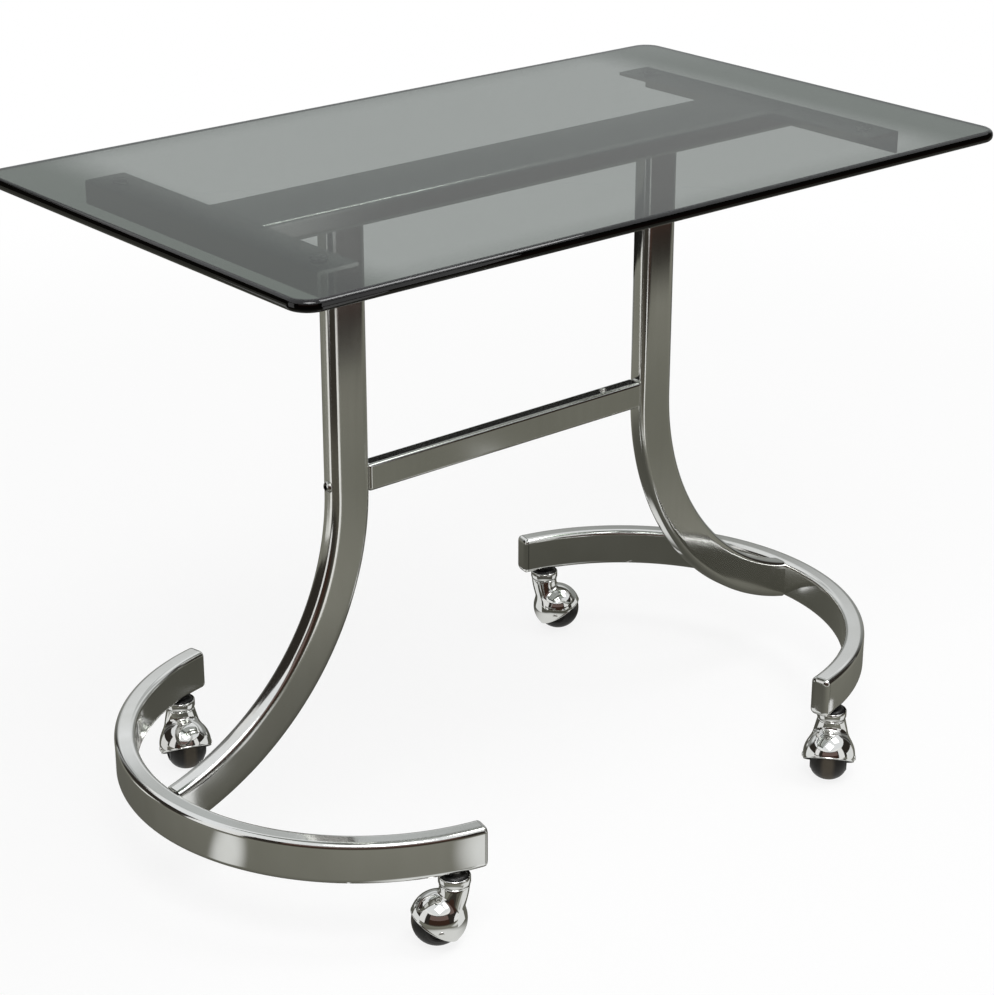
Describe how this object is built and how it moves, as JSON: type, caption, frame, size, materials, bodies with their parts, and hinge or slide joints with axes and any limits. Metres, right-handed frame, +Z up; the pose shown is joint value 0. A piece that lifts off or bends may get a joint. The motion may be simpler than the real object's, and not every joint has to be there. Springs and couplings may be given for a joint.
{
  "type": "rolling side table",
  "caption": "Rolling side table: smoked glass top on a chromed tube frame of J-shaped legs, a stretcher and C-shaped feet, on hooded ball casters that swivel and roll.",
  "frame": {"origin": "on the floor under the middle of the glass top, midway between the feet", "axes": "+X along the table's length, from one foot to the other; +Y across its width, from front to back; +Z up"},
  "size_m": [0.771, 0.4657, 0.597],
  "materials": {
    "smoked_glass": "polished, grey tint, rounded edge",
    "clear_plastic": "clear soft bumper",
    "chrome": "bright chrome plate with light wear",
    "steel": "plain zinc-plated steel",
    "black_steel": "black, satin",
    "black_rubber": "satin black, worn tread"
  },
  "bodies": {
    "frame": {"glass_top": "smoked_glass", "glass_pad_front_left": "clear_plastic", "glass_pad_back_left": "clear_plastic", "glass_pad_front_right": "clear_plastic", "glass_pad_back_right": "clear_plastic", "rail": "chrome", "crossbar_left": "chrome", "crossbar_right": "chrome", "leg_left": "chrome", "leg_right": "chrome", "stretcher": "chrome", "foot_left": "chrome", "foot_right": "chrome", "foot_cap_front_left": "chrome", "foot_cap_back_left": "chrome", "foot_cap_front_right": "chrome", "foot_cap_back_right": "chrome", "stretcher_bolt_left": "steel", "stretcher_bolt_right": "steel", "stretcher_screw": "steel", "caster_front_left_socket": "steel", "caster_front_left_stem": "steel", "caster_front_left_bearing_cap": "black_steel", "caster_back_left_socket": "steel", "caster_back_left_stem": "steel", "caster_back_left_bearing_cap": "black_steel", "caster_front_right_socket": "steel", "caster_front_right_stem": "steel", "caster_front_right_bearing_cap": "black_steel", "caster_back_right_socket": "steel", "caster_back_right_stem": "steel", "caster_back_right_bearing_cap": "black_steel"},
    "caster_front_left": {"caster_front_left_hood": "chrome", "caster_front_left_axle": "steel"},
    "wheel_front_left": {"caster_front_left_wheel": "black_rubber"},
    "caster_back_left": {"caster_back_left_hood": "chrome", "caster_back_left_axle": "steel"},
    "wheel_back_left": {"caster_back_left_wheel": "black_rubber"},
    "caster_front_right": {"caster_front_right_hood": "chrome", "caster_front_right_axle": "steel"},
    "wheel_front_right": {"caster_front_right_wheel": "black_rubber"},
    "caster_back_right": {"caster_back_right_hood": "chrome", "caster_back_right_axle": "steel"},
    "wheel_back_right": {"caster_back_right_wheel": "black_rubber"}
  },
  "joints": [
    {"name": "swivel_front_left", "type": "hinge", "parent": "frame", "child": "caster_front_left", "pos_m": [-0.22774, -0.20448, 0.062], "axis": [0, 0, 1], "continuous": true},
    {"name": "roll_front_left", "type": "hinge", "parent": "caster_front_left", "child": "wheel_front_left", "pos_m": [-0.24047, -0.19713, 0.022], "axis": [-0.5, -0.866, 0], "continuous": true},
    {"name": "swivel_back_left", "type": "hinge", "parent": "frame", "child": "caster_back_left", "pos_m": [-0.22774, 0.20448, 0.062], "axis": [0, 0, 1], "continuous": true},
    {"name": "roll_back_left", "type": "hinge", "parent": "caster_back_left", "child": "wheel_back_left", "pos_m": [-0.23277, 0.19066, 0.022], "axis": [0.9397, -0.342, 0], "continuous": true},
    {"name": "swivel_front_right", "type": "hinge", "parent": "frame", "child": "caster_front_right", "pos_m": [0.22774, -0.20448, 0.062], "axis": [0, 0, 1], "continuous": true},
    {"name": "roll_front_right", "type": "hinge", "parent": "caster_front_right", "child": "wheel_front_right", "pos_m": [0.21648, -0.21393, 0.022], "axis": [0.6428, -0.766, 0], "continuous": true},
    {"name": "swivel_back_right", "type": "hinge", "parent": "frame", "child": "caster_back_right", "pos_m": [0.22774, 0.20448, 0.062], "axis": [0, 0, 1], "continuous": true},
    {"name": "roll_back_right", "type": "hinge", "parent": "caster_back_right", "child": "wheel_back_right", "pos_m": [0.23758, 0.19355, 0.022], "axis": [0.7431, 0.6691, 0], "continuous": true}
  ]
}
